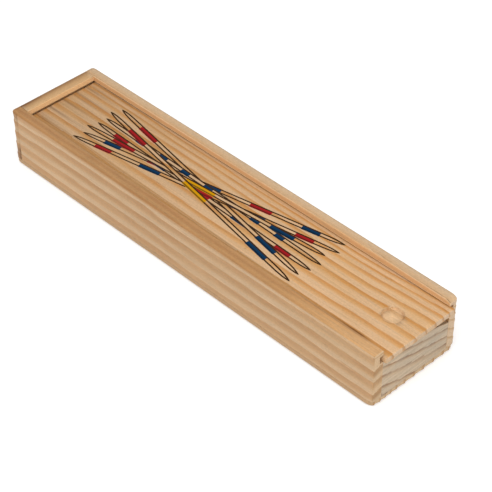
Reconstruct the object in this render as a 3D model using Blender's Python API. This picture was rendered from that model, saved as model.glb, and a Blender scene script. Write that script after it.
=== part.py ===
"""Pick-up sticks: a glued softwood box with a grooved sliding lid, holding forty-one pointed sticks.

Metres, +Z up. X runs along the box, from its closed rear end to its front end, where the lid slides out.
The origin is the middle of the underside of the base board.
"""

import math
import random

import bmesh
import bpy

# The sticks
STICK_LENGTH = 0.1800
STICK_DIAMETER = 0.0030
STICK_POINT = 0.0095
STICK_GAP = 0.0003

# How the sticks lie: full rows that nest in each other, then loose rows on top, spread from the left
ROW_STICKS = 10
NESTED_ROWS = 3
LOOSE_COUNTS = (7, 5)
LOOSE_WIDTH_SHARES = (1.0, 0.56)
SEED = 41

# The box is made round the sticks, with some room left along, across and above them
STICK_END_PLAY = 0.0092
STICK_SIDE_PLAY = 0.0017
STICK_HEADROOM = 0.0025
BASE_THICKNESS = 0.0027
SIDE_THICKNESS = 0.0047
END_THICKNESS = 0.0054
GLUE_LINE = 0.0003

# The groove for the lid, ploughed along the inner faces of the two sides and the rear end
LIP_HEIGHT = 0.0023
GROOVE_HEIGHT = 0.0031
GROOVE_DEPTH = 0.0018

# Rounds left by sanding. The upright corners came out unevenly, and the left front one is almost sharp.
REAR_CORNER_ROUND = 0.0023
LEFT_FRONT_ROUND = 0.0004
RIGHT_FRONT_ROUND = 0.0015
BASE_CORNER_ROUND = 0.0024
TOP_ROUND = 0.0007
FOOT_ROUND = 0.0012
FINE_ROUND = 0.0003
ROUND_STEPS = 3

# The front end stands below the lid's path, and its top falls away towards the right side
FRONT_FALL = 0.0046
FRONT_FALL_START_SHARE = 0.36
FRONT_FALL_BOW = 1.5
FRONT_FALL_STEPS = 6

# The lid, which stands slightly open and lies against one side of its play
LID_UNDER_CLEARANCE = 0.0003
LID_TOP_CLEARANCE = 0.0006
LID_SIDE_CLEARANCE = 0.0010
LID_SHIFT_SHARE = 0.35
LID_REAR_CLEARANCE = 0.0003
LID_OPEN_AT_REST = 0.0017
LID_NOSE_ROUND = 0.0006

# The thumb recess in the lid, bored with a flat bit that leaves a ring at the rim and a centre point
RECESS_DIAMETER = 0.0085
RECESS_DEPTH = 0.0008
RECESS_SETBACK = 0.0135
RING_WIDTH = 0.0006
RING_DEPTH = 0.0003
POINT_DIAMETER = 0.0012
POINT_DEPTH = 0.0004
RECESS_FACETS = 36
CUT_OVERRUN = 0.0010

# A stick's point: how far along it, and how thick there, as shares of its length and of the radius
POINT_SHARES = ((0.0, 0.0), (0.04, 0.22), (0.28, 0.62), (0.60, 0.88), (1.0, 1.0))
STICK_FACETS = 12
SHARP_DEGREES = 40

# Painted bands of each kind of stick: start and end as shares of the stick's length
BAND_SHARES = {
    "mandarin": (
        (0.090, 0.155, "blue"),
        (0.265, 0.345, "red"),
        (0.455, 0.545, "blue"),
        (0.655, 0.735, "red"),
        (0.845, 0.910, "blue"),
    ),
    "monk": (
        (0.090, 0.155, "red"),
        (0.265, 0.345, "blue"),
        (0.455, 0.545, "red"),
        (0.655, 0.735, "blue"),
        (0.845, 0.910, "red"),
    ),
    "samurai": (
        (0.120, 0.215, "red"),
        (0.440, 0.560, "yellow"),
        (0.785, 0.880, "blue"),
    ),
    "worker": (
        (0.120, 0.215, "red"),
        (0.785, 0.880, "blue"),
    ),
}
STICK_COUNTS = {"emperor": 1, "mandarin": 5, "monk": 5, "samurai": 15, "worker": 15}

# The emperor's blue stripe winds along the stick, one facet on for each step
SPIRAL_START_SHARE = 0.08
SPIRAL_END_SHARE = 0.92
SPIRAL_TURNS = 5
SPIRAL_FACETS_WIDE = 4

# What follows for the sticks
STICK_RADIUS = STICK_DIAMETER / 2
STICK_PITCH = STICK_DIAMETER + STICK_GAP
NESTED_RISE = STICK_PITCH * math.sin(math.pi / 3)
PILE_HEIGHT = STICK_GAP + STICK_DIAMETER + (NESTED_ROWS - 1) * NESTED_RISE + len(LOOSE_COUNTS) * STICK_PITCH

# What follows for the box. Levels on the walls are counted from their foot.
BOX_LENGTH = STICK_LENGTH + STICK_END_PLAY + 2 * END_THICKNESS
INNER_WIDTH = ROW_STICKS * STICK_PITCH + STICK_GAP + STICK_SIDE_PLAY
BOX_WIDTH = INNER_WIDTH + 2 * SIDE_THICKNESS
FRONT_INNER_X = BOX_LENGTH / 2 - END_THICKNESS
WALL_FOOT_Z = BASE_THICKNESS + GLUE_LINE
LID_UNDERSIDE_Z = BASE_THICKNESS + PILE_HEIGHT + STICK_HEADROOM
GROOVE_FLOOR = LID_UNDERSIDE_Z - LID_UNDER_CLEARANCE - WALL_FOOT_Z
LIP_UNDERSIDE = GROOVE_FLOOR + GROOVE_HEIGHT
WALL_HEIGHT = LIP_UNDERSIDE + LIP_HEIGHT

# What follows for the lid
LID_THICKNESS = GROOVE_HEIGHT - LID_UNDER_CLEARANCE - LID_TOP_CLEARANCE
LID_WIDTH = INNER_WIDTH + 2 * (GROOVE_DEPTH - LID_SIDE_CLEARANCE)
LID_LENGTH = BOX_LENGTH - END_THICKNESS + GROOVE_DEPTH - LID_REAR_CLEARANCE

COLOURS = {
    "lid_pine": (0.67, 0.42, 0.20),
    "side_pine": (0.62, 0.40, 0.21),
    "base_pine": (0.60, 0.38, 0.19),
    "end_pine": (0.58, 0.38, 0.20),
    "grey_pine": (0.47, 0.38, 0.28),
    "stick_wood": (0.78, 0.60, 0.38),
    "red": (0.36, 0.02, 0.02),
    "blue": (0.01, 0.05, 0.16),
    "yellow": (0.74, 0.40, 0.01),
}
PAINTS = ("red", "blue", "yellow")
WOOD_ROUGHNESS = 0.65
PAINT_ROUGHNESS = 0.40


def clear_scene():
    for old in list(bpy.data.objects):
        bpy.data.objects.remove(old)


def finish_of(name):
    """A Principled BSDF of the named colour, made once."""
    found = bpy.data.materials.get(name)
    if found:
        return found
    material = bpy.data.materials.new(name)
    material.use_nodes = True
    shader = material.node_tree.nodes["Principled BSDF"]
    shader.inputs["Base Color"].default_value = (*COLOURS[name], 1.0)
    shader.inputs["Roughness"].default_value = PAINT_ROUGHNESS if name in PAINTS else WOOD_ROUGHNESS
    shader.inputs["Metallic"].default_value = 0.0
    return material


def mesh_from(name, bm):
    bmesh.ops.recalc_face_normals(bm, faces=bm.faces)
    mesh = bpy.data.meshes.new(name)
    bm.to_mesh(mesh)
    bm.free()
    return mesh


def place(name, mesh, location, turn=0.0, parent=None):
    obj = bpy.data.objects.new(name, mesh)
    bpy.context.scene.collection.objects.link(obj)
    obj.parent = parent
    obj.location = location
    obj.rotation_euler = (0.0, 0.0, turn)
    return obj


def board(name, outline, length, finish, rounds):
    """The mesh of a board: an outline of (across, up) points along X, with the edges to round weighted."""
    bm = bmesh.new()
    face = bm.faces.new([bm.verts.new((-length / 2, across, up)) for across, up in outline])
    pushed = bmesh.ops.extrude_face_region(bm, geom=[face])
    moved = [item for item in pushed["geom"] if isinstance(item, bmesh.types.BMVert)]
    bmesh.ops.translate(bm, verts=moved, vec=(length, 0.0, 0.0))
    mesh = mesh_from(name, bm)
    mesh.materials.append(finish_of(finish))
    widest = max(radius for *_, radius in rounds)
    weights = mesh.attributes.new("bevel_weight_edge", "FLOAT", "EDGE")
    near = FINE_ROUND / 100
    for edge in mesh.edges:
        ends = [mesh.vertices[index].co for index in edge.vertices]
        for first, second, radius in rounds:
            if all(abs(end[axis] - at) < near for end in ends for axis, at in (first, second)):
                weights.data[edge.index].value = radius / widest
    return mesh


def sand_edges(obj, rounds):
    """Rounds a board's edges by weight. Each of rounds is two faces, as (axis, place), and a radius."""
    bevel = obj.modifiers.new("sanded_edges", "BEVEL")
    bevel.limit_method = "WEIGHT"
    bevel.width = max(radius for *_, radius in rounds)
    bevel.segments = ROUND_STEPS


def make_base(box):
    half = BOX_WIDTH / 2
    outline = [(-half, 0.0), (half, 0.0), (half, BASE_THICKNESS), (-half, BASE_THICKNESS)]
    ends = [(0, -BOX_LENGTH / 2), (0, BOX_LENGTH / 2)]
    flanks = [(1, -half), (1, half)]
    rounds = [(end, flank, BASE_CORNER_ROUND) for end in ends for flank in flanks]
    rounds += [(edge, (2, 0.0), FOOT_ROUND) for edge in ends + flanks]
    mesh = board("base_board", outline, BOX_LENGTH, "base_pine", rounds)
    sand_edges(place("base_board", mesh, (0.0, 0.0, 0.0), parent=box), rounds)


def grooved_outline(thickness):
    """The section of the walls, from the inner face outwards, with the lid's groove under the lip."""
    return [
        (0.0, 0.0),
        (thickness, 0.0),
        (thickness, WALL_HEIGHT),
        (0.0, WALL_HEIGHT),
        (0.0, LIP_UNDERSIDE),
        (GROOVE_DEPTH, LIP_UNDERSIDE),
        (GROOVE_DEPTH, GROOVE_FLOOR),
        (0.0, GROOVE_FLOOR),
    ]


def make_side(box, name, hand, front_round):
    """A grooved board along one side. Its hand is 1 for the right one, and -1 for the left one."""
    outer, inner, top = (1, SIDE_THICKNESS), (1, 0.0), (2, WALL_HEIGHT)
    front, rear = (0, hand * BOX_LENGTH / 2), (0, -hand * BOX_LENGTH / 2)
    rounds = [(outer, top, TOP_ROUND), (inner, top, FINE_ROUND)]
    rounds += [(rear, outer, REAR_CORNER_ROUND), (rear, top, TOP_ROUND)]
    rounds += [(front, outer, front_round), (front, top, FINE_ROUND)]
    mesh = board(name, grooved_outline(SIDE_THICKNESS), BOX_LENGTH, "side_pine", rounds)
    location = (0.0, hand * INNER_WIDTH / 2, WALL_FOOT_Z)
    sand_edges(place(name, mesh, location, turn=math.pi * (hand < 0), parent=box), rounds)


def make_rear_end(box):
    """A short grooved board, glued between the sides. The lid's rear edge closes into its groove."""
    outer, inner, top = (1, END_THICKNESS), (1, 0.0), (2, WALL_HEIGHT)
    rounds = [(outer, top, TOP_ROUND), (inner, top, FINE_ROUND)]
    width = INNER_WIDTH - 2 * GLUE_LINE
    mesh = board("rear_end", grooved_outline(END_THICKNESS), width, "end_pine", rounds)
    location = (-FRONT_INNER_X, 0.0, WALL_FOOT_Z)
    sand_edges(place("rear_end", mesh, location, turn=math.pi / 2, parent=box), rounds)


def make_front_end(box):
    """The low front end board. The lid passes over it, and its top falls away in a curve to the right."""
    half = INNER_WIDTH / 2 - GLUE_LINE
    start = half * (2 * FRONT_FALL_START_SHARE - 1)
    outline = [(-half, GROOVE_FLOOR), (-half, 0.0), (half, 0.0)]
    for step in range(FRONT_FALL_STEPS, -1, -1):
        gone = step / FRONT_FALL_STEPS
        outline.append((start + (half - start) * gone, GROOVE_FLOOR - FRONT_FALL * gone**FRONT_FALL_BOW))
    rounds = [((0, END_THICKNESS / 2), (2, GROOVE_FLOOR), FINE_ROUND)]
    mesh = board("front_end", outline, END_THICKNESS, "grey_pine", rounds)
    middle = FRONT_INNER_X + END_THICKNESS / 2
    sand_edges(place("front_end", mesh, (middle, 0.0, WALL_FOOT_Z), parent=box), rounds)


def turned(name, profile, facets):
    """A closed turned mesh along X, from (place, radius) stations. A station of no radius is a point."""
    bm = bmesh.new()
    rings = []
    for at, radius in profile:
        angles = [math.tau * step / facets for step in range(facets if radius else 1)]
        rings.append([bm.verts.new((at, radius * math.cos(a), radius * math.sin(a))) for a in angles])
    for first, second in zip(rings, rings[1:]):
        for step in range(facets):
            corners = [
                first[step % len(first)],
                first[(step + 1) % len(first)],
                second[(step + 1) % len(second)],
                second[step % len(second)],
            ]
            bm.faces.new(list(dict.fromkeys(corners)))
    for ring in (rings[0], rings[-1]):
        if len(ring) > 1:
            bm.faces.new(ring)
    return mesh_from(name, bm)


def recess_bit(lid):
    """What the flat bit takes away: a centre point, the flat of its blade and a ring scored at the rim."""
    rim = RECESS_DIAMETER / 2
    profile = [
        (-RECESS_DEPTH - POINT_DEPTH, 0.0),
        (-RECESS_DEPTH, POINT_DIAMETER / 2),
        (-RECESS_DEPTH, rim - RING_WIDTH),
        (-RECESS_DEPTH - RING_DEPTH, rim - RING_WIDTH / 2),
        (-RECESS_DEPTH, rim),
        (CUT_OVERRUN, rim),
    ]
    middle = (-RECESS_SETBACK, 0.0, LID_THICKNESS)
    bit = place("recess_bit", turned("recess_bit", profile, RECESS_FACETS), middle, parent=lid)
    bit.rotation_euler.y = -math.pi / 2
    bit.hide_render = True
    bit.display_type = "WIRE"
    return bit


def make_lid():
    """The sliding lid. Its origin is on its slide's axis, at its front edge."""
    half = LID_WIDTH / 2
    outline = [(-half, 0.0), (half, 0.0), (half, LID_THICKNESS), (-half, LID_THICKNESS)]
    front, rear = (0, LID_LENGTH / 2), (0, -LID_LENGTH / 2)
    under, top = (2, 0.0), (2, LID_THICKNESS)
    flanks = [(1, -half), (1, half)]
    rounds = [(front, edge, LID_NOSE_ROUND) for edge in [top, *flanks]]
    rounds += [(rear, edge, FINE_ROUND) for edge in [top, under, *flanks]]
    rounds += [(flank, face, FINE_ROUND) for flank in flanks for face in (under, top)]
    mesh = board("lid", outline, LID_LENGTH, "lid_pine", rounds)
    for vertex in mesh.vertices:
        vertex.co.x -= LID_LENGTH / 2
    shift = LID_SHIFT_SHARE * LID_SIDE_CLEARANCE
    lid = place("lid", mesh, (BOX_LENGTH / 2 + LID_OPEN_AT_REST, shift, LID_UNDERSIDE_Z))
    sand_edges(lid, rounds)
    cut = lid.modifiers.new("thumb_recess", "BOOLEAN")
    cut.operation = "DIFFERENCE"
    cut.object = recess_bit(lid)


def stick_stations(marks):
    """(place, radius) stations of a stick that starts at x = 0, with a ring at each of the marks."""
    rear = [(STICK_POINT * along, STICK_RADIUS * thick) for along, thick in POINT_SHARES]
    front = [(STICK_LENGTH - at, radius) for at, radius in reversed(rear)]
    return rear + [(at, STICK_RADIUS) for at in marks if STICK_POINT < at < STICK_LENGTH - STICK_POINT] + front


def paint(mesh, colour_at):
    """Gives each face the paint that colour_at names for its middle, or bare wood."""
    for name in ("stick_wood", *PAINTS):
        mesh.materials.append(finish_of(name))
    for face in mesh.polygons:
        colour = colour_at(face.center)
        face.material_index = 1 + PAINTS.index(colour) if colour else 0
    mesh.shade_smooth()
    mesh.set_sharp_from_angle(angle=math.radians(SHARP_DEGREES))
    return mesh


def banded_stick(kind):
    """A stick with plain painted bands round it."""
    bands = [(start * STICK_LENGTH, end * STICK_LENGTH, colour) for start, end, colour in BAND_SHARES[kind]]
    marks = [at for start, end, _ in bands for at in (start, end)]

    def band(middle):
        return next((colour for start, end, colour in bands if start < middle.x < end), None)

    return paint(turned(kind, stick_stations(marks), STICK_FACETS), band)


def emperor_stick():
    """The one stick with a blue stripe wound along it."""
    start, end = SPIRAL_START_SHARE * STICK_LENGTH, SPIRAL_END_SHARE * STICK_LENGTH
    steps = SPIRAL_TURNS * STICK_FACETS
    marks = [start + (end - start) * step / steps for step in range(steps + 1)]

    def stripe(middle):
        if not start < middle.x < end:
            return None
        step = int((middle.x - start) / (end - start) * steps)
        facet = int((math.atan2(middle.z, middle.y) % math.tau) / math.tau * STICK_FACETS)
        return "blue" if (facet - step) % STICK_FACETS < SPIRAL_FACETS_WIDE else None

    return paint(turned("emperor", stick_stations(marks), STICK_FACETS), stripe)


def nested_row(row):
    """y of each stick of a full row. Every second row lies in the hollows of the one below."""
    count = ROW_STICKS - row % 2
    return [(index - (count - 1) / 2) * STICK_PITCH for index in range(count)]


def loose_row(count, width_share, chance):
    """y of one end of each stick of a loose row, whose spare room is shared out by chance."""
    left = STICK_GAP + STICK_RADIUS - INNER_WIDTH / 2
    spare = INNER_WIDTH * width_share - STICK_GAP - count * STICK_PITCH
    jostled = sorted(chance.uniform(0.0, spare) for _ in range(count))
    return [left + shift + index * STICK_PITCH for index, shift in enumerate(jostled)]


def resting_places(chance):
    """(y of the rear end, y of the front end, z) of each stick's axis, row by row from the bottom."""
    z = BASE_THICKNESS + STICK_GAP + STICK_RADIUS
    places = []
    for row in range(NESTED_ROWS):
        places += [(y, y, z + row * NESTED_RISE) for y in nested_row(row)]
    z += (NESTED_ROWS - 1) * NESTED_RISE
    for count, width_share in zip(LOOSE_COUNTS, LOOSE_WIDTH_SHARES):
        z += STICK_PITCH
        rear, front = loose_row(count, width_share, chance), loose_row(count, width_share, chance)
        places += [(rear_y, front_y, z) for rear_y, front_y in zip(rear, front)]
    return places


def make_sticks(box):
    """Shuffles the kinds over the resting places, with the emperor among the last, on top."""
    chance = random.Random(SEED)
    places = resting_places(chance)
    kinds = [kind for kind, count in STICK_COUNTS.items() for _ in range(count) if kind != "emperor"]
    chance.shuffle(kinds)
    kinds.insert(len(places) - 2, "emperor")
    meshes = {kind: banded_stick(kind) for kind in BAND_SHARES}
    meshes["emperor"] = emperor_stick()
    made = dict.fromkeys(STICK_COUNTS, 0)
    for kind, (rear_y, front_y, z) in zip(kinds, places):
        made[kind] += 1
        name = f"{kind}_stick_{made[kind]:02d}" if STICK_COUNTS[kind] > 1 else f"{kind}_stick"
        yaw = math.atan2(front_y - rear_y, STICK_LENGTH)
        about = chance.choice((1, -1))
        slid = chance.uniform(-0.5, 0.5) * (STICK_END_PLAY - 2 * STICK_GAP)
        start_x = slid - about * STICK_LENGTH / 2 * math.cos(yaw)
        start_y = (rear_y + front_y) / 2 - about * STICK_LENGTH / 2 * math.sin(yaw)
        turn = yaw if about > 0 else yaw + math.pi
        place(name, meshes[kind], (start_x, start_y, z), turn=turn, parent=box)


def main():
    clear_scene()
    box = place("box", None, (0.0, 0.0, 0.0))
    make_base(box)
    make_side(box, "left_side", -1, LEFT_FRONT_ROUND)
    make_side(box, "right_side", 1, RIGHT_FRONT_ROUND)
    make_rear_end(box)
    make_front_end(box)
    make_sticks(box)
    make_lid()


main()
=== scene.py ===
import math

import bmesh
import bpy
import numpy as np
from mathutils import Matrix, Vector
from mathutils.geometry import delaunay_2d_cdt


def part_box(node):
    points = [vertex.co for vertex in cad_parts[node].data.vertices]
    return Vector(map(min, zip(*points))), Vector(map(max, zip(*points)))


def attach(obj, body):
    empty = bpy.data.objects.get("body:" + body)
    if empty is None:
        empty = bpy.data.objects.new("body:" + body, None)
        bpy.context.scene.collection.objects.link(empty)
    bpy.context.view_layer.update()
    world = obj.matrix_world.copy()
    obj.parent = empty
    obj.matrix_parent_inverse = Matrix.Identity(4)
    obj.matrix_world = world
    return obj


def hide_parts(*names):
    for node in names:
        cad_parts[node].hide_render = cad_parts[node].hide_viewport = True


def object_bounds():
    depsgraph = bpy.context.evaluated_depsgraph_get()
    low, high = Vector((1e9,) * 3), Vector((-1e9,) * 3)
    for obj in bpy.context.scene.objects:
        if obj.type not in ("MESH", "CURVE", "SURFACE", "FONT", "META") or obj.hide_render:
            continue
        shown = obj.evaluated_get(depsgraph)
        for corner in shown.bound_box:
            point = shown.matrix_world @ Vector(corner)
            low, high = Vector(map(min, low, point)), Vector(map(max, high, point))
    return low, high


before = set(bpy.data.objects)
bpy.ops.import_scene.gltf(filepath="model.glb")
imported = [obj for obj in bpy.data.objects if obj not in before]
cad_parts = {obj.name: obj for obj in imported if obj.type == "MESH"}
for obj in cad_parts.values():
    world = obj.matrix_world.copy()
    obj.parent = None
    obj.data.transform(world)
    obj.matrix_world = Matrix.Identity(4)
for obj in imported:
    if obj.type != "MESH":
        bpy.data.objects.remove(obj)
cad_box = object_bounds()

MM = 0.001

# The view of the photograph: angles in degrees, lengths in millimetres
VIEW_AZIMUTH = 46.019
VIEW_ELEVATION = 40.817
VIEW_ROLL = -0.452
VIEW_DISTANCE = 648.1
VIEW_TARGET = (16.77, -2.62, 13.14)
LENS = 125.03
SENSOR = 36.0

# Growth rings. Each board has the places, in mm across its rings, where the dark late wood of a ring stops
# and the pale early wood of the next one begins.
LID_RINGS = (-27, -20.3, -14.3, -8.5, -2.4, 3.2, 8.0, 12.3, 15.4, 18.1, 20.4, 23, 27)
LEFT_RINGS = (-9, -4.4, 1.7, 7.1, 13.1, 18.7, 24.7, 27.9, 31)
RIGHT_RINGS = (-14, -10, -6, -3, 1.4, 6.3, 10.6, 15.0, 17.9, 21.4, 24.0, 29.0)
BASE_RINGS = (-27, -23, -20, -17, -14.2, -11.4, -8.3, -3.8, 1.25, 6.4, 11.8, 17.2, 20, 23, 27)
FRONT_RINGS = (-9, -4.0, -0.3, 3.9, 9.6, 13.7, 17.4, 21.1, 25.0, 28.5)
REAR_RINGS = (-12, -9, -6.2, -3.6, -1.2, 1.4, 5.1, 8, 11)

# How deep brushing wore the soft early wood of each board, in mm
LID_WEAR = 0.035
LEFT_WEAR = 0.14
RIGHT_WEAR = 0.28
BASE_WEAR = 0.30
END_WEAR = 0.10
LIP_WEAR = 0.05

# Glue squeezed into the joints leaves less of a gap than the boards were cut with, in mm
FOOT_GLUE = 0.13
BLOCK_GLUE = 0.28

# The printed picture on the lid, in mm: a sheaf of crossed game sticks, outlined in dark ink
PRINT_REAR_X = -72.5
PRINT_FRONT_X = 51.0
PRINT_REAR_Y = (-12.4, 13.0)
PRINT_FRONT_Y = (-13.0, 16.0)
PRINT_STAGGER = 1.4
PRINT_HALF_WIDTH = 1.20
PRINT_STROKE = 0.68
PRINT_POINT = 13.0
PRINT_SLIP = -0.42
PRINT_BAND = 0.98
PRINT_KINDS = ("monk", "mandarin", "samurai", "monk", "emperor", "samurai", "worker")
PRINT_FRONT_ORDER = (5, 6, 4, 2, 3, 0, 1)
PRINT_STACK = (5, 2, 4, 0, 6, 3, 1)

# Painted bands of each kind of stick: start and end as shares of its length, and the paint
BANDS = {
    "mandarin": (
        (0.090, 0.155, "blue"),
        (0.265, 0.345, "red"),
        (0.455, 0.545, "blue"),
        (0.655, 0.735, "red"),
        (0.845, 0.910, "blue"),
    ),
    "monk": (
        (0.090, 0.155, "red"),
        (0.265, 0.345, "blue"),
        (0.455, 0.545, "red"),
        (0.655, 0.735, "blue"),
        (0.845, 0.910, "red"),
    ),
    "samurai": (
        (0.120, 0.215, "red"),
        (0.440, 0.560, "yellow"),
        (0.785, 0.880, "blue"),
    ),
    "worker": (
        (0.120, 0.215, "red"),
        (0.785, 0.880, "blue"),
    ),
    "emperor": tuple((0.16 + 0.107 * n, 0.198 + 0.107 * n, "blue") for n in range(7)),
}
LACQUERS = {"red": "#A32022", "blue": "#0A4674", "yellow": "#E0A80E"}
# The inks are thin. Where a band lies over an outline, the outline darkens it.
INKS = {
    "outline": "#38230F",
    "red": "#A0191E",
    "blue": "#003356",
    "yellow": "#D09500",
    "red_on_outline": "#641614",
    "blue_on_outline": "#001F34",
    "yellow_on_outline": "#74520F",
}

# The turned sticks, in mm. A point's shape is pairs of (share of its length, share of the radius).
STICK_RADIUS = 1.5
STICK_POINT = 9.5
STICK_SIDES = 20
POINT_SHAPE = (
    (0.0, 0.0),
    (0.03, 0.17),
    (0.12, 0.37),
    (0.28, 0.62),
    (0.45, 0.78),
    (0.65, 0.91),
    (0.85, 0.98),
    (1.0, 1.0),
)

# The emperor's blue stripe winds along the stick, one side on for each step
STRIPE_START = 0.08
STRIPE_END = 0.92
STRIPE_TURNS = 5
STRIPE_SIDES = 7

# Places that follow from the CAD, in mm
SIDE_LOW, SIDE_HIGH = (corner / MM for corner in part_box("left_side"))
LID_LOW, LID_HIGH = (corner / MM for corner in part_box("lid"))
BOX_REAR, WALL_FOOT, LIP_TOP = SIDE_LOW.x, SIDE_LOW.z, SIDE_HIGH.z
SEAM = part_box("right_side")[0].y / MM
RECESS_SETBACK = 13.5
RECESS_RADIUS = 4.25
RECESS_CENTRE = Vector((LID_HIGH.x - RECESS_SETBACK, (LID_LOW.y + LID_HIGH.y) / 2))

# Where boards are sliced near their ends, so that rounds and dirt show: mm in from each end
SIDE_CUTS = (0.4, 1.0, 1.7, 2.5, 3.2, 3.7, 4.1, 4.4)
LID_CUTS = (0.35, 0.66)

# Edges that bend more than this are drawn sharp
SHARP_ANGLE = math.radians(38)

# The studio's lamps: name, place and size in metres, power in watts
LAMPS = (
    ("key", (0.20, -0.50, 0.90), 0.8, 3.7),
    ("fill", (0.9, -0.2, 0.5), 0.7, 2.4),
)
# The white world lights the box with this strength. The floor's own glow lifts it to white.
WORLD_LIGHT = 0.62
FLOOR_GREY = 0.80
FLOOR_GLOW = 0.40


def linear(text):
    """An sRGB hex value as linear RGBA."""
    parts = [int(text[at : at + 2], 16) / 255 for at in (1, 3, 5)]
    return (*[c / 12.92 if c <= 0.04045 else ((c + 0.055) / 1.055) ** 2.4 for c in parts], 1.0)


def add(tree, kind, inputs=None, stops=None, **settings):
    """Adds a node with its settings and links. An input is a value, a socket, or a node's first output."""
    made = tree.nodes.new(kind)
    for name, value in settings.items():
        setattr(made, name, value)
    for socket, value in (inputs or {}).items():
        if isinstance(value, bpy.types.Node):
            value = value.outputs[0]
        if isinstance(value, bpy.types.NodeSocket):
            tree.links.new(value, made.inputs[socket])
        else:
            made.inputs[socket].default_value = value
    for place, (at, colour) in enumerate(stops or ()):
        ramp = made.color_ramp.elements
        stop = ramp[place] if place < 2 else ramp.new(at)
        stop.position = at
        stop.color = linear(colour)
    return made


def new_material(name):
    """An empty material: its node tree, and a Principled BSDF linked to the output."""
    made = bpy.data.materials.new(name)
    made.use_nodes = True
    tree = made.node_tree
    tree.nodes.clear()
    shader = add(tree, "ShaderNodeBsdfPrincipled")
    add(tree, "ShaderNodeOutputMaterial", {"Surface": shader})
    return made, tree, shader


def along_grain(tree, long, wide, axis, detail=2.0):
    """Noise for marks of a real size: long mm along the grain's axis, and wide mm across it."""
    scale = [1 / (wide * MM)] * 3
    scale[axis] = 1 / (long * MM)
    place = add(tree, "ShaderNodeTexCoord").outputs["Object"]
    scaled = add(tree, "ShaderNodeVectorMath", {0: place, 1: scale}, operation="MULTIPLY")
    inputs = {"Vector": scaled, "Scale": 1.0, "Detail": detail, "Roughness": 0.55}
    return add(tree, "ShaderNodeTexNoise", inputs)


def sum_of(tree, base, parts):
    """The base plus each noise times its amount. Noise is taken about its middle value."""
    for noise, amount in parts:
        centred = add(tree, "ShaderNodeMath", {0: noise, 1: 0.5}, operation="SUBTRACT")
        base = add(tree, "ShaderNodeMath", {0: centred, 1: amount, 2: base}, operation="MULTIPLY_ADD")
    return base


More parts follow.
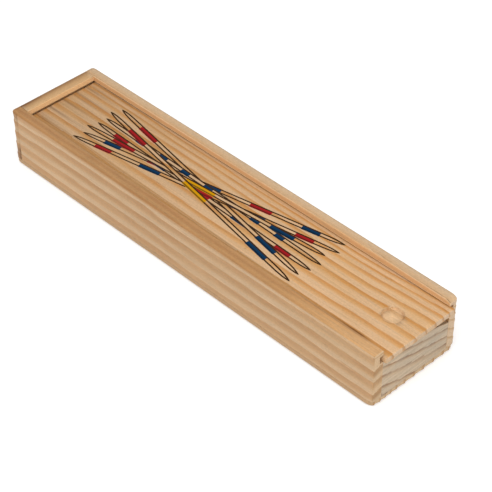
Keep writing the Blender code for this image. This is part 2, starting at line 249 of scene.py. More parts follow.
# Pine, sawn across its rings and brushed so that the hard late wood stands proud. It gives the eye stripes
# that deepen from straw to orange and stop sharply, crossed by fine fibres, and end grain that is plainer.
# Fibres are under 0.1 mm wide. They are drawn 0.35 mm wide so that they show.
def brushed_pine(name, face, end_grain, grain=0, blotch=None, fade=0.0, contrast=1.0, ink=None):
    """The face is straw, orange and line colours, and where in a ring they begin. The end grain has two."""
    straw, orange, line, faces = face
    end_straw, end_line, ends = end_grain
    made, tree, shader = new_material(name)
    ring = add(tree, "ShaderNodeAttribute", attribute_name="ring").outputs["Fac"]
    across = add(tree, "ShaderNodeAttribute", attribute_name="end").outputs["Fac"]
    dirt_and_shade = add(tree, "ShaderNodeAttribute", attribute_name="dirt_and_shade").outputs["Fac"]
    depth = add(tree, "ShaderNodeAttribute", attribute_name="depth").outputs["Fac"]
    fibre = along_grain(tree, 14.0, 0.35, grain, 3.0)
    streak = along_grain(tree, 45.0, 1.1, grain)
    cloud = along_grain(tree, 26.0, 9.0, grain)
    patch = along_grain(tree, 7.0, 3.0, grain, 3.0)
    speck = along_grain(tree, 0.9, 0.5, grain, 1.0)
    resin = along_grain(tree, 3.0, 0.3, grain, 1.0)

    wavering = sum_of(tree, ring, [(fibre, 0.20), (streak, 0.36), (patch, 0.10)])
    phase = add(tree, "ShaderNodeMath", {0: wavering}, operation="FRACT")
    number = add(tree, "ShaderNodeMath", {0: wavering}, operation="FLOOR")
    own = add(tree, "ShaderNodeTexWhiteNoise", {"W": number}, noise_dimensions="1D")
    stops = [(0.0, straw), (0.97, line), *zip(faces, (straw, orange, line)), (1.0, straw)]
    stripes = add(tree, "ShaderNodeValToRGB", {"Fac": phase}, stops)
    stops = [(0.0, end_straw), (0.95, end_line), *zip(ends, (end_straw, end_line)), (1.0, end_straw)]
    cut = add(tree, "ShaderNodeValToRGB", {"Fac": phase}, stops)
    paler = add(tree, "ShaderNodeMath", {0: own, 1: 0.18}, operation="MULTIPLY")
    inputs = {"Factor": paler, "A": stripes, "B": linear(straw)}
    stripes = add(tree, "ShaderNodeMix", inputs, data_type="RGBA")
    inputs = {"Factor": across, "A": stripes.outputs["Result"], "B": cut}
    colour = add(tree, "ShaderNodeMix", inputs, data_type="RGBA")
    if fade:
        inputs = {"Value": patch, "From Min": 0.38, "From Max": 0.62, "To Max": fade}
        pale = add(tree, "ShaderNodeMapRange", inputs)
        inputs = {"Factor": pale, "A": colour.outputs["Result"], "B": linear(straw)}
        colour = add(tree, "ShaderNodeMix", inputs, data_type="RGBA")
    if blotch:
        inputs = {"Value": cloud, "From Min": 0.46, "From Max": 0.70, "To Max": 0.5}
        spread = add(tree, "ShaderNodeMapRange", inputs)
        inputs = {"Factor": spread, "A": colour.outputs["Result"], "B": linear(blotch)}
        colour = add(tree, "ShaderNodeMix", inputs, data_type="RGBA")
    # Dirt and painted shade both darken the wood towards the same brown
    dirt_and_shade_amount = sum_of(tree, dirt_and_shade, [(patch, 0.25), (fibre, 0.25)])
    dirt_and_shade_amount = add(tree, "ShaderNodeMath", {0: dirt_and_shade_amount, 1: dirt_and_shade}, operation="MULTIPLY", use_clamp=True)
    inputs = {"Factor": dirt_and_shade_amount, "A": colour.outputs["Result"], "B": linear("#683A08")}
    colour = add(tree, "ShaderNodeMix", inputs, data_type="RGBA")

    parts = [(own, 0.05), (fibre, 0.36 * contrast), (streak, 0.28 * contrast), (cloud, 0.16), (speck, 0.34)]
    tone = sum_of(tree, depth, parts)
    pores = add(tree, "ShaderNodeMapRange", {"Value": resin, "From Min": 0.68, "From Max": 0.76})
    tone = add(tree, "ShaderNodeMath", {0: pores, 1: -0.22, 2: tone}, operation="MULTIPLY_ADD")
    colour = add(tree, "ShaderNodeHueSaturation", {"Value": tone, "Color": colour.outputs["Result"]})
    if ink:
        # Ink sits thinner on the proud fibres, so a little of the wood shows through
        inputs = {"Value": fibre, "From Min": 0.35, "From Max": 0.75, "To Min": 1.0, "To Max": 0.996}
        worn = add(tree, "ShaderNodeMapRange", inputs)
        inputs = {"Factor": worn, "A": colour, "B": linear(ink)}
        colour = add(tree, "ShaderNodeMix", inputs, data_type="RGBA").outputs["Result"]
    tree.links.new(colour if ink else colour.outputs["Color"], shader.inputs["Base Color"])

    rough = sum_of(tree, 0.58, [(fibre, 0.25), (patch, 0.10)])
    rough = add(tree, "ShaderNodeMath", {0: phase, 1: -0.10, 2: rough}, operation="MULTIPLY_ADD")
    tree.links.new(rough.outputs[0], shader.inputs["Roughness"])
    height = sum_of(tree, 0.0, [(fibre, 1.0), (speck, 0.5)])
    height = add(tree, "ShaderNodeMath", {0: pores, 1: -0.7, 2: height}, operation="MULTIPLY_ADD")
    bump = add(tree, "ShaderNodeBump", {"Height": height, "Strength": 0.55, "Distance": 0.06 * MM})
    tree.links.new(bump.outputs[0], shader.inputs["Normal"])
    shader.inputs["IOR"].default_value = 1.45
    shader.inputs["Specular IOR Level"].default_value = 0.05 if ink else 0.3
    return made


# Birch dowel, turned and tumbled smooth: close pale wood with faint long fibres and a soft sheen
def tumbled_birch(name, colour, low_rough, high_rough):
    made, tree, shader = new_material(name)
    each = add(tree, "ShaderNodeObjectInfo").outputs["Random"]
    place = add(tree, "ShaderNodeTexCoord").outputs["Object"]
    moved = add(tree, "ShaderNodeVectorMath", {0: place, 1: each}, operation="ADD")
    scaled = add(tree, "ShaderNodeVectorMath", {0: moved, 1: (55.0, 2800.0, 2800.0)}, operation="MULTIPLY")
    fibre = add(tree, "ShaderNodeTexNoise", {"Vector": scaled, "Scale": 1.0, "Detail": 3.0})
    scaled = add(tree, "ShaderNodeVectorMath", {0: moved, 1: (40.0, 250.0, 250.0)}, operation="MULTIPLY")
    cloud = add(tree, "ShaderNodeTexNoise", {"Vector": scaled, "Scale": 1.0})
    tone = sum_of(tree, 1.0, [(fibre, 0.45), (cloud, 0.3), (each, 0.10)])
    made_colour = add(tree, "ShaderNodeHueSaturation", {"Value": tone, "Color": linear(colour)})
    tree.links.new(made_colour.outputs[0], shader.inputs["Base Color"])
    rough = add(tree, "ShaderNodeMapRange", {"Value": fibre, "To Min": low_rough, "To Max": high_rough})
    tree.links.new(rough.outputs[0], shader.inputs["Roughness"])
    bump = add(tree, "ShaderNodeBump", {"Height": fibre, "Strength": 0.35, "Distance": 0.03 * MM})
    tree.links.new(bump.outputs[0], shader.inputs["Normal"])
    shader.inputs["IOR"].default_value = 1.45
    return made


def ring_number(d, places):
    """How many rings lie before each place d. The fraction runs from 0 in early wood to 1 in late wood."""
    return np.interp(d, places, range(len(places)))


def proud(ring):
    """How far brushed wood stands up, from 0 in the soft early wood to 1 in the hard late wood."""
    return np.interp(ring % 1.0, (0.0, 0.30, 0.62, 0.82, 0.90, 1.0), (0.0, 0.08, 0.45, 0.92, 1.0, 0.0))


def waver(x, size, pitch, start):
    """A slow sideways drift of the rings along a board, in mm."""
    return size * (np.sin(x / pitch + start) + 0.4 * np.sin(x / pitch * 2.7 + 2 * start))


def between(value, low, high):
    """0 below low, 1 above high, and even between them."""
    return np.clip((value - low) / (high - low), 0.0, 1.0)


def board_mesh(node, steps, end_cuts):
    """The CAD board, sliced along each axis by its step in mm, with extra slices near both ends of X."""
    bm = bmesh.new()
    bm.from_mesh(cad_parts[node].data)
    bmesh.ops.remove_doubles(bm, verts=bm.verts, dist=0.001 * MM)
    bmesh.ops.dissolve_limit(bm, angle_limit=math.radians(0.5), verts=bm.verts, edges=bm.edges)
    low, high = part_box(node)
    for axis, step in enumerate(steps):
        if not step:
            continue
        length = high[axis] - low[axis]
        count = max(1, round(length / (step * MM)))
        cuts = [low[axis] + length * index / count for index in range(1, count)]
        if axis == 0:
            cuts += [low.x + cut * MM for cut in end_cuts] + [high.x - cut * MM for cut in end_cuts]
        normal = Vector((axis == 0, axis == 1, axis == 2))
        for cut in cuts:
            geom = [*bm.verts, *bm.edges, *bm.faces]
            bmesh.ops.bisect_plane(bm, geom=geom, dist=0.0005 * MM, plane_co=normal * cut, plane_no=normal)
    return bm


def finish_board(name, bm, grain, shape, materials, body):
    """Gives a board its rings, wear, dirt and painted shade from its shape function, and puts it in the CAD
    node's place.
    """
    bm.normal_update()
    points = np.array([vert.co for vert in bm.verts]) / MM
    normals = np.array([vert.normal for vert in bm.verts])
    ring, wear, grown, dirt_and_shade, depth = shape(points, normals)
    worn = normals * (wear * (1 - proud(ring)))[:, None]
    for vert, place in zip(bm.verts, (points - worn + grown) * MM):
        vert.co = place
    mesh = bpy.data.meshes.new(name)
    bm.to_mesh(mesh)
    bm.free()
    end = between(np.abs(normals[:, grain]), 0.3, 0.9)
    for label, values in (("ring", ring), ("end", end), ("dirt_and_shade", dirt_and_shade), ("depth", depth)):
        mesh.attributes.new(label, "FLOAT", "POINT").data.foreach_set("value", values.astype(np.float32))
    for material in materials:
        mesh.materials.append(material)
    mesh.shade_smooth()
    mesh.set_sharp_from_angle(angle=SHARP_ANGLE)
    piece = bpy.data.objects.new(name, mesh)
    bpy.context.scene.collection.objects.link(piece)
    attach(piece, body)
    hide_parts(name)


# A shape function takes a board's points and normals, in mm. For each point it gives the ring number, how
# deep brushing wore the early wood, how far the point is moved, its dirt and painted shade, and its
# brightness.
def lid_shape(points, normals):
    x, y, z = points.T
    up, ends = between(normals[:, 2], 0, 1), np.abs(normals[:, 0])
    drift = 1.7 * between(98 - x, 0, 26) * between(y, -16, 4)
    drift -= 1.3 * between(-40 - x, 0, 45)
    ring = ring_number(y + drift + waver(x, 0.32, 21, 0.4) + 0.25 * (z - LID_HIGH.z), LID_RINGS)
    # The strip beside the left lip is one dark late ring, wider to the rear
    strip_edge = np.interp(x, (-62, -2, 58), (-12.7, -13.6, -14.7))
    strip = between(strip_edge - y, -0.2, 0.2) * between(84 - x, 0, 14)
    ring = ring * (1 - strip) + (np.floor(ring) + 0.72) * strip
    wear = LID_WEAR * up + 0.14 * ends
    # A dark streak of painted shadow on the lid beside the left lip, and finger dirt where the lid meets the
    # rear end
    streak = np.exp(-(((y + 15.0) / 0.5) ** 2)) * between(x, 60, 84) * between(96 - x, 0, 9)
    dirt = between(-66 - x, 0, 22) * between(np.sin(y * 0.95 + 1.3) + 0.7 * np.sin(y * 2.6), -0.4, 1.5) * up
    # Two smudges beside the picture
    smudges = np.exp(-(((y + 9.2) / 0.3) ** 2) - ((x + 80.5) / 2.2) ** 2)
    smudges += np.exp(-(((y + 12.6 - 0.05 * (x + 78)) / 0.3) ** 2) - ((x + 77) / 4) ** 2)
    depth = 0.80 + 0.20 * between(x, -92, 45)
    depth -= (depth - 0.76 - 0.10 * between(x, 20, 80)) * strip
    # Painted shade on two opposite sides of the recess's rim, and a painted highlight at its centre
    across, along = x - RECESS_CENTRE.x, y - RECESS_CENTRE.y
    radius = np.hypot(across, along)
    painted_rim_shade = 0.75 * np.exp(-(((radius - 4.05) / 0.22) ** 2)) * np.abs(across + along) / (radius + 1) * 0.8
    depth += 0.2 * np.exp(-((radius / 1.1) ** 2))
    dirt_and_shade = np.maximum.reduce([1.05 * streak * up, 0.68 * dirt, 0.6 * smudges * up, painted_rim_shade])
    return ring, wear, np.zeros_like(points), dirt_and_shade, depth


def corner_soil(points, normals):
    """Dirt on the rear corner of a side board, which was sanded off to a line that stayed rough and dark."""
    x, y, z = points.T
    inward = x - BOX_REAR
    sanded = between(4.4 - inward, 0.0, 0.3)
    edge = 0.20 * np.exp(-(((inward - 3.8) / 0.4) ** 2))
    level = 0.28 + 0.24 * between(z, 19, 24) + 0.46 * between(11 - z, 0, 3) + 0.05 * np.sin(z * 1.9)
    plain = 1 - 0.6 * between(np.abs(normals[:, 0]) + between(normals[:, 2], 0, 1), 0.6, 0.95)
    # Its top has dirt along the rear edge only
    top = 0.62 * between(2.2 - inward, 0, 1.4) * between(normals[:, 2], 0.5, 0.9)
    return np.maximum(sanded * plain * (level + edge), top)


def foot_grown(points, normals):
    """The glued foot of a wall comes down to the base board, and the rear seams are sanded flush on top."""
    x, y, z = points.T
    grown = np.zeros_like(points)
    grown[:, 2] = -FOOT_GLUE * ((normals[:, 2] < -0.5) & (z < WALL_FOOT + 0.2))
    at_rear = (x > BOX_REAR + 0.6) & (x < BOX_REAR + 4.3)
    seam = at_rear & (np.abs(np.abs(y) - SEAM) < 0.6) & (z > LIP_TOP - 0.5)
    grown[:, 2] += (LIP_TOP - z) * seam
    return grown


def corner_knock(points):
    """The left front foot of the box is knocked round."""
    x, y, z = points.T
    near = between((x - 95) / 5 + (-17.2 - y) / 5, 1, 2) ** 2
    return np.stack([-0.8 * near, 0.8 * near, 0 * near], axis=1)


def lip_wear(points, normals):
    """The tops of the walls are brushed too, but not the grooves below them."""
    return LIP_WEAR * between(normals[:, 2], 0, 1) * (points[:, 2] > LIP_TOP - 1.2)


def left_shape(points, normals):
    x, y, z = points.T
    drift = 1.3 * between(95 - x, 0, 72) + 0.06 * (z - 6) * between(-40 - x, 0, 50)
    ring = ring_number(z + drift + waver(x, 0.2, 19, 1.0) - 0.27 * (y - SIDE_LOW.y), LEFT_RINGS)
    # The top of the lip is all late wood, paler to the front, where its inner edge has a painted shadow of
    # the gap beside the lid
    lip = between(z - LIP_TOP, -1.1, -0.4)
    phase = 0.7 + 0.08 * np.sin(y * 2.2 + waver(x, 0.8, 17, 0)) - 0.35 * between(x, 50, 92)
    ring = ring * (1 - lip) + (LEFT_RINGS.index(24.7) + phase) * lip
    # Painted shadow along the inner edge of the lip near the front
    edge = 0.6 * between(y, -18.7, -18.2) * between(x, 42, 66) * between(97 - x, 0, 5) * lip
    wear = LEFT_WEAR * between(-normals[:, 1], 0, 1) + lip_wear(points, normals)
    wear += 0.14 * between(np.abs(x), 97, 100) * between(-normals[:, 1], 0, 1)
    front = between(normals[:, 0], 0.5, 0.9)
    ring -= 0.6 * (ring % 1.0) * front * between(z, 19.5, 21)
    depth = 1.0 - 0.06 * between(3.5 - z, 0, 1) - 0.10 * between(9 - z, 0, 4) * front
    depth += 0.07 * between(-20 - x, 0, 60) * (1 - lip)
    depth += (0.12 * between(x, 30, 92) - 0.06) * lip * (1 - front)
    grown = foot_grown(points, normals) + corner_knock(points) * (between(9 - z, 0, 9) ** 2)[:, None]
    return ring, wear, grown, np.maximum(corner_soil(points, normals), edge), depth


def right_shape(points, normals):
    x, y, z = points.T
    ring = ring_number(z + waver(x, 0.35, 27, 2.1) + 0.55 * (y + SIDE_LOW.y), RIGHT_RINGS)
    wear = RIGHT_WEAR * between(normals[:, 1], 0, 1) + lip_wear(points, normals)
    # The top of the lip is early wood. Its inner face is late wood, which comes over the edge in the middle.
    top = between(z - LIP_TOP, -1.3, -0.8)
    ring = ring * (1 - top) + (RIGHT_RINGS.index(24.0) + 0.20 + 0.05 * (SIDE_HIGH.y - y)) * top
    edge = SEAM + 0.2 + 0.9 * np.exp(-(((x - 48) / 20) ** 2))
    inner = between(edge - y, -0.2, 0.2) * between(z - LIP_TOP, -3, -2)
    ring = ring * (1 - inner) + (RIGHT_RINGS.index(24.0) + 0.60) * inner
    # Painted light: the lip's inner face is drawn brighter where it faces the lid
    depth = 1.0 + 0.30 * inner * between(-normals[:, 1], 0, 0.5)
    # Its front corner is sanded down
    grown = foot_grown(points, normals)
    grown[:, 2] -= 1.2 * between(x, 97, 100) ** 2 * between(z - LIP_TOP, -2.4, 0)
    return ring, wear, grown, corner_soil(points, normals), depth


def base_shape(points, normals):
    """The base is grown on top to meet the walls."""
    x, y, z = points.T
    ring = ring_number(y + waver(x, 0.45, 31, 0.0) + 0.12 * z, BASE_RINGS)
    wear = BASE_WEAR * between(1 - normals[:, 2], 0, 0.8)
    wear *= 0.45 + 0.55 * between(np.abs(x), 97.5, 99.5)
    grown = np.zeros_like(points)
    grown[:, 2] = FOOT_GLUE * (normals[:, 2] > 0.5)
    return ring, wear, grown + corner_knock(points), np.zeros_like(x), np.ones_like(x)


def block_grown(points, normals):
    """An end board is glued to the sides and to the base."""
    grown = foot_grown(points, normals)
    grown[:, 1] = BLOCK_GLUE * np.sign(normals[:, 1]) * (np.abs(normals[:, 1]) > 0.5)
    return grown


def front_shape(points, normals):
    x, y, z = points.T
    drift = waver(y, 0.22, 3.4, 0.7) + waver(y, 0.5, 9.0, 2.0)
    ring = ring_number(z + 0.2586 * y + 0.4 * (x - 100) + drift, FRONT_RINGS)
    wear = END_WEAR * between(normals[:, 0], 0, 1) + LIP_WEAR * between(normals[:, 2], 0, 1)
    # The chip at the foot of the left joint
    chip = 0.9 * np.exp(-(((y + 17.3) / 0.4) ** 2) - ((z - 4.2) / 0.8) ** 2)
    return ring, wear, block_grown(points, normals), chip, np.ones_like(x)


def rear_shape(points, normals):
    x, y, z = points.T
    ring = ring_number((x + 97) + 0.18 * (z - 25) + waver(y, 0.2, 7, 1.3), REAR_RINGS)
    # The top is sanded along one ring, and the inner face lies in the next one
    top = between(z - LIP_TOP, -0.7, -0.2)
    ring = ring * (1 - top) + (REAR_RINGS.index(1.4) + 0.60 - 0.05 * (x + 97)) * top
    wear = END_WEAR * between(-normals[:, 0], 0, 1) + lip_wear(points, normals)
    dirt_and_shade = 0.74 * between(-95.6 - x, 0, 3.2) * (1 + 0.25 * between(-5 - y, 0, 8)) * (z > LIP_TOP - 1.2)
    # Painted light: the face towards the lid is drawn brighter
    depth = 1.0 + 0.34 * between(normals[:, 0], 0.3, 0.9)
    return ring, wear, block_grown(points, normals), dirt_and_shade, depth


def printed_sticks():
    """Each stick of the picture, top one first: its rear tip, direction, length and kind."""
    last = len(PRINT_KINDS) - 1
    made = []
    for index, kind in enumerate(PRINT_KINDS):
        rear_x = PRINT_REAR_X + PRINT_STAGGER * math.sin(2.2 * index)
        front_x = PRINT_FRONT_X + PRINT_STAGGER * math.cos(1.7 * index)
        rear_y = PRINT_REAR_Y[0] + (PRINT_REAR_Y[1] - PRINT_REAR_Y[0]) * index / last
        front_y = PRINT_FRONT_Y[0] + (PRINT_FRONT_Y[1] - PRINT_FRONT_Y[0]) * PRINT_FRONT_ORDER[index] / last
        rear, front = Vector((rear_x, rear_y)), Vector((front_x, front_y))
        made.append((rear, (front - rear).normalized(), (front - rear).length, kind))
    return [made[index] for index in PRINT_STACK]


OGIVE = ((0.0, 0.0), (0.05, 0.28), (0.15, 0.54), (0.32, 0.80), (0.60, 0.96), (1.0, 1.0))


def half_width(s, length):
    """Half the width of a printed stick at s from its rear tip, in mm: it has an ogive at each end."""
    return PRINT_HALF_WIDTH * float(np.interp(min(s, length - s) / PRINT_POINT, *zip(*OGIVE)))


def print_lines(sticks):
    """The line segments, in mm on the lid, that the picture's inked areas end at."""
    lines = []
    for rear, along, length, kind in sticks:
        beside = Vector((-along.y, along.x))
        stations = [share * PRINT_POINT for share, _ in OGIVE]
        stations += [length - at for at in reversed(stations)]
        for inset in (0.0, PRINT_STROKE):
            for hand in (-1, 1):
                widths = [half_width(s, length) - inset for s in stations]
                steps = [(s, width) for s, width in zip(stations, widths) if width > -0.1]
                path = [rear + along * s + beside * hand * max(width, 0.0) for s, width in steps]
                lines += list(zip(path, path[1:]))
        for start, end, _ in BANDS[kind]:
            low, high = PRINT_SLIP - PRINT_BAND, PRINT_SLIP + PRINT_BAND
            corners = [(start, low), (end, low), (end, high), (start, high)]
            corners = [rear + along * (length * share) + beside * side for share, side in corners]
            lines += list(zip(corners, corners[1:] + corners[:1]))
    return lines


def band_at(kind, at, length):
    """The paint of a kind of stick at a place along it, or None between its bands."""
    return next((paint for start, end, paint in BANDS[kind] if start * length < at < end * length), None)


def ink_at(point, sticks):
    """The ink at a point of the lid, or None. The first stick that covers the point hides those below."""
    for rear, along, length, kind in sticks:
        offset = point - rear
        s = offset.dot(along)
        if not 0 < s < length:
            continue
        side = along.x * offset.y - along.y * offset.x
        width = half_width(s, length)
        drawn = width - PRINT_STROKE < abs(side) < width
        band = band_at(kind, s, length)
        if band and abs(side - PRINT_SLIP) < PRINT_BAND:
            return f"{band}_on_outline" if drawn else band
        if drawn:
            return "outline"
        if abs(side) < width:
            return None
    return None


def print_on_lid(bm):
    """Cuts the picture's lines into the top of the lid, and gives each face there its ink."""
    level = max(vert.co.z for vert in bm.verts)
    tops = [face for face in bm.faces if all(level - vert.co.z < 0.002 * MM for vert in face.verts)]
    verts = list(dict.fromkeys(vert for face in tops for vert in face.verts))
    index = {vert: at for at, vert in enumerate(verts)}
    pairs = dict.fromkeys(tuple(edge.verts) for face in tops for edge in face.edges)
    edges = [(index[first], index[second]) for first, second in pairs]
    points = [vert.co.xy / MM for vert in verts]
    sticks = printed_sticks()
    for start, end in print_lines(sticks):
        edges.append((len(points), len(points) + 1))
        points += [start, end]
    bmesh.ops.delete(bm, geom=tops, context="FACES_ONLY")
    places, _, faces, origins, _, _ = delaunay_2d_cdt(points, edges, [], 0, 1e-4)
    made = []
    for place, origin in zip(places, origins):
        own = [verts[at] for at in origin if at < len(verts)]
        made.append(own[0] if own else bm.verts.new((place.x * MM, place.y * MM, level)))
    for face in faces:
        a, b, c = (places[at] for at in face)
        middle = (a + b + c) / 3
        corners = [made[at] for at in (face if (b - a).cross(c - a) > 0 else reversed(face))]
        in_recess = (middle - RECESS_CENTRE).length < RECESS_RADIUS - 0.02
        if in_recess or len(set(corners)) < 3 or bm.faces.get(corners):
            continue
        ink = ink_at(middle, sticks)
        bm.faces.new(corners).material_index = 1 + list(INKS).index(ink) if ink else 0
    bmesh.ops.delete(bm, geom=[vert for vert in bm.verts if not vert.link_faces], context="VERTS")
    # The recess's own faces are bored, not brushed
    for face in bm.faces:
        middle = face.calc_center_median() / MM
        below = level / MM - middle.z
        if (middle.xy - RECESS_CENTRE).length < RECESS_RADIUS and 0.01 < below < 1.5:
            face.material_index = 1 + len(INKS)


def stick_band(kind, at, side, length):
    """The paint of a face of a stick, or None: at is its place along the stick, side its number round it."""
    if kind != "emperor":
        return band_at(kind, at, length)
    turned = (at / length - STRIPE_START) / (STRIPE_END - STRIPE_START)
    step = int(turned * STRIPE_TURNS * STICK_SIDES)
    return "blue" if 0 < turned < 1 and (side - step) % STICK_SIDES < STRIPE_SIDES else None


def stick_rings(kind, length):
    """(place, radius) of each ring of a stick's mesh, in metres, from one tip to the other."""
    point, radius = STICK_POINT * MM, STICK_RADIUS * MM
    tip = [(point * at, radius * wide) for at, wide in POINT_SHAPE]
    if kind == "emperor":
        steps = STRIPE_TURNS * STICK_SIDES
        shares = [STRIPE_START + (STRIPE_END - STRIPE_START) * step / steps for step in range(steps + 1)]
    else:
        shares = [share for start, end, _ in BANDS[kind] for share in (start, end)]
    shares = sorted(shares + [step / 12 for step in range(2, 11)])
    body = [(share * length, radius) for share in shares if point < share * length < length - point]
    return tip + body + [(length - at, wide) for at, wide in reversed(tip)]


def make_stick(name, kind, rear, front, materials):
    """A turned stick between its two tips, with painted bands, or the emperor's wound stripe."""
    length = (front - rear).length
    bm = bmesh.new()
    rings = []
    for at, wide in stick_rings(kind, length):
        angles = [math.tau * side / STICK_SIDES for side in range(STICK_SIDES if wide else 1)]
        rings.append([bm.verts.new((at, wide * math.cos(a), wide * math.sin(a))) for a in angles])
    for first, second in zip(rings, rings[1:]):
        for side in range(STICK_SIDES):
            corners = [(first, side), (first, side + 1), (second, side + 1), (second, side)]
            face = bm.faces.new(list(dict.fromkeys(ring[at % len(ring)] for ring, at in corners)))
            paint = stick_band(kind, face.calc_center_median().x, side, length)
            face.material_index = 1 + list(LACQUERS).index(paint) if paint else 0
    bmesh.ops.recalc_face_normals(bm, faces=bm.faces)
    mesh = bpy.data.meshes.new(name)
    bm.to_mesh(mesh)
    bm.free()
    for material in materials:
        mesh.materials.append(material)
    mesh.shade_smooth()
    piece = bpy.data.objects.new(name, mesh)
    bpy.context.scene.collection.objects.link(piece)
    yaw = math.atan2(front.y - rear.y, front.x - rear.x)
    piece.matrix_world = Matrix.Translation(rear) @ Matrix.Rotation(yaw, 4, "Z")
    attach(piece, "box")
    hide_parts(name)


def make_sticks():
    materials = [tumbled_birch("tumbled_birch", "#E3C79B", 0.45, 0.62)]
    # Dipped lacquer over the same wood: even colour and more shine
    for paint, colour in LACQUERS.items():
        materials.append(tumbled_birch(f"dipped_lacquer_{paint}", colour, 0.26, 0.40))
    for name in sorted(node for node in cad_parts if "_stick" in node):
        points = [vert.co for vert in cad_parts[name].data.vertices]
        tips = min(points, key=lambda p: p.x), max(points, key=lambda p: p.x)
        make_stick(name, name.split("_")[0], tips[0].copy(), tips[1].copy(), materials)


def make_boards():
    # Of each wood: the face's straw, orange and line colours with where in a ring each begins, then the same
    # for the end grain's two
    lid = ("#D9B288", "#CF995A", "#C68640", (0.48, 0.70, 0.86)), ("#CDB294", "#B58C62", (0.70, 0.84))
    lid_wood = [brushed_pine("brushed_pine_lid", *lid, blotch="#CDA06A")]
    # Screen ink on the same wood: flat colour in which the finest fibres barely show
    lid_wood += [brushed_pine(f"screen_ink_{ink}", *lid, ink=colour) for ink, colour in INKS.items()]
    # Bored wood is paler and plainer, and has no late lines
    bored = ("#DDB78C", "#D7AE80", "#CDA070", (0.5, 0.7, 0.9)), ("#D2AC7E", "#C0925F", (0.70, 0.84))
    lid_wood.append(brushed_pine("bored_pine", *bored))
    sides = ("#D3B38E", "#C69B6C", "#BE9062", (0.26, 0.54, 0.78))
    left = [brushed_pine("brushed_pine_left", sides, ("#CFB08A", "#AE8558", (0.30, 0.62)), blotch="#C8A47A")]
    lip = ("#C89D6E", "#BE8E5A", "#A06C3C", (0.30, 0.60, 0.85)), ("#CFB08A", "#AE8558", (0.30, 0.62))
    left.append(brushed_pine("brushed_pine_left_lip", *lip, contrast=1.8))
    right = brushed_pine("brushed_pine_right", sides, ("#D0B392", "#BE9A70", (0.66, 0.84)))
    base = ("#C6A27A", "#BC9266", "#AC7E50", (0.40, 0.66, 0.86)), ("#CDB08A", "#B08658", (0.60, 0.86))
    base = brushed_pine("brushed_pine_base", *base)
    rear = ("#D2AC7E", "#C89C6A", "#B88A58", (0.40, 0.66, 0.86)), ("#CFAE86", "#AC845A", (0.70, 0.86))
    rear = brushed_pine("brushed_pine_rear_end", *rear, grain=1)
    # Pine gone grey in the open: dull, with blue-grey bloom and brown lines that come and go
    grey = ("#C4AE92", "#B99A74", "#8C6440", (0.50, 0.72, 0.88)), ("#C4AE92", "#8C6440", (0.70, 0.86))
    bloom = {"blotch": "#A0988A", "fade": 0.45, "contrast": 1.9}
    grey_pine = brushed_pine("greyed_pine_front_end", *grey, grain=1, **bloom)

    bm = board_mesh("lid", (3.6, 0.3, None), LID_CUTS)
    print_on_lid(bm)
    finish_board("lid", bm, 0, lid_shape, lid_wood, "lid")
    bm = board_mesh("left_side", (4.0, 0.7, 0.3), SIDE_CUTS)
    for face in bm.faces:
        face.material_index = int(face.normal.z > 0.5 and face.calc_center_median().z > (LIP_TOP - 0.4) * MM)
    finish_board("left_side", bm, 0, left_shape, left, "box")
    bm = board_mesh("right_side", (4.0, 0.7, 0.3), SIDE_CUTS)
    finish_board("right_side", bm, 0, right_shape, [right], "box")
    bm = board_mesh("base_board", (4.0, 0.35, 0.7), SIDE_CUTS)
    finish_board("base_board", bm, 0, base_shape, [base], "box")
    bm = board_mesh("front_end", (1.4, 0.9, 0.3), ())
    finish_board("front_end", bm, 1, front_shape, [grey_pine], "box")
    bm = board_mesh("rear_end", (0.35, 2.0, 0.4), ())
    finish_board("rear_end", bm, 1, rear_shape, [rear], "box")


def make_camera():
    a, e, r = (math.radians(value) for value in (VIEW_AZIMUTH, VIEW_ELEVATION, VIEW_ROLL))
    back = Vector((math.sin(a) * math.cos(e), -math.cos(a) * math.cos(e), math.sin(e)))
    right = Vector((math.cos(a), math.sin(a), 0.0))
    up = back.cross(right)
    turned_right = right * math.cos(r) + up * math.sin(r)
    turned_up = up * math.cos(r) - right * math.sin(r)
    data = bpy.data.cameras.new("camera")
    data.lens = LENS
    data.sensor_width = SENSOR
    data.clip_start = 0.01
    camera = bpy.data.objects.new("camera", data)
    bpy.context.scene.collection.objects.link(camera)
    camera.matrix_world = Matrix((turned_right, turned_up, back)).transposed().to_4x4()
    camera.location = Vector(VIEW_TARGET) * MM + back * (VIEW_DISTANCE * MM)
    bpy.context.scene.camera = camera


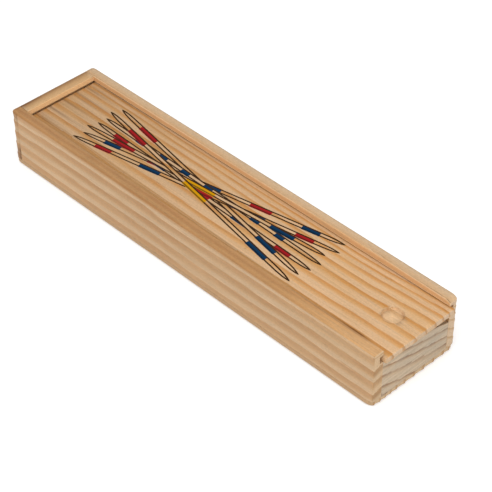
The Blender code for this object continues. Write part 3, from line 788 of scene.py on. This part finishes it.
def area_light(name, place, size, power):
    """A soft round lamp at a place in metres, turned to the middle of the box."""
    data = bpy.data.lights.new(name, "AREA")
    data.shape = "DISK"
    data.size = size
    data.energy = power
    light = bpy.data.objects.new(name, data)
    bpy.context.scene.collection.objects.link(light)
    light.location = place
    light.rotation_mode = "QUATERNION"
    light.rotation_quaternion = (-Vector(place)).to_track_quat("-Z", "Y")


def seen_directly(tree):
    """1 for what the camera sees straight on, in a mirror or through glass."""
    path = add(tree, "ShaderNodeLightPath")
    camera, glossy, glass = (path.outputs[f"Is {kind} Ray"] for kind in ("Camera", "Glossy", "Transmission"))
    seen = add(tree, "ShaderNodeMath", {0: camera, 1: glossy}, operation="MAXIMUM")
    return add(tree, "ShaderNodeMath", {0: seen, 1: glass}, operation="MAXIMUM")


def make_studio():
    """A pale floor and soft light from all round, strongest from above the left side."""
    world = bpy.data.worlds.new("studio")
    bpy.context.scene.world = world
    world.use_nodes = True
    tree = world.node_tree
    tree.nodes.clear()
    inputs = {"Value": seen_directly(tree), "To Min": WORLD_LIGHT, "To Max": 1.0}
    strength = add(tree, "ShaderNodeMapRange", inputs)
    back = add(tree, "ShaderNodeBackground", {"Color": (1.0, 1.0, 1.0, 1.0), "Strength": strength})
    add(tree, "ShaderNodeOutputWorld", {"Surface": back})

    for lamp in LAMPS:
        area_light(*lamp)

    mesh = bpy.data.meshes.new("floor")
    bm = bmesh.new()
    bmesh.ops.create_grid(bm, x_segments=1, y_segments=1, size=3.0)
    bm.to_mesh(mesh)
    bm.free()
    made = bpy.data.materials.new("studio_floor")
    made.use_nodes = True
    tree = made.node_tree
    tree.nodes.clear()
    matt = add(tree, "ShaderNodeBsdfDiffuse", {"Color": (FLOOR_GREY, FLOOR_GREY, FLOOR_GREY, 1.0)})
    lift = add(tree, "ShaderNodeMath", {0: seen_directly(tree), 1: FLOOR_GLOW}, operation="MULTIPLY")
    glow = add(tree, "ShaderNodeEmission", {"Strength": lift})
    both = add(tree, "ShaderNodeAddShader", {0: matt, 1: glow})
    add(tree, "ShaderNodeOutputMaterial", {"Surface": both})
    mesh.materials.append(made)
    floor = bpy.data.objects.new("floor", mesh)
    floor.location.z = cad_box[0].z - 0.2 * MM
    bpy.context.scene.collection.objects.link(floor)


bpy.context.scene.view_settings.view_transform = "Standard"
make_camera()
make_studio()
make_boards()
make_sticks()
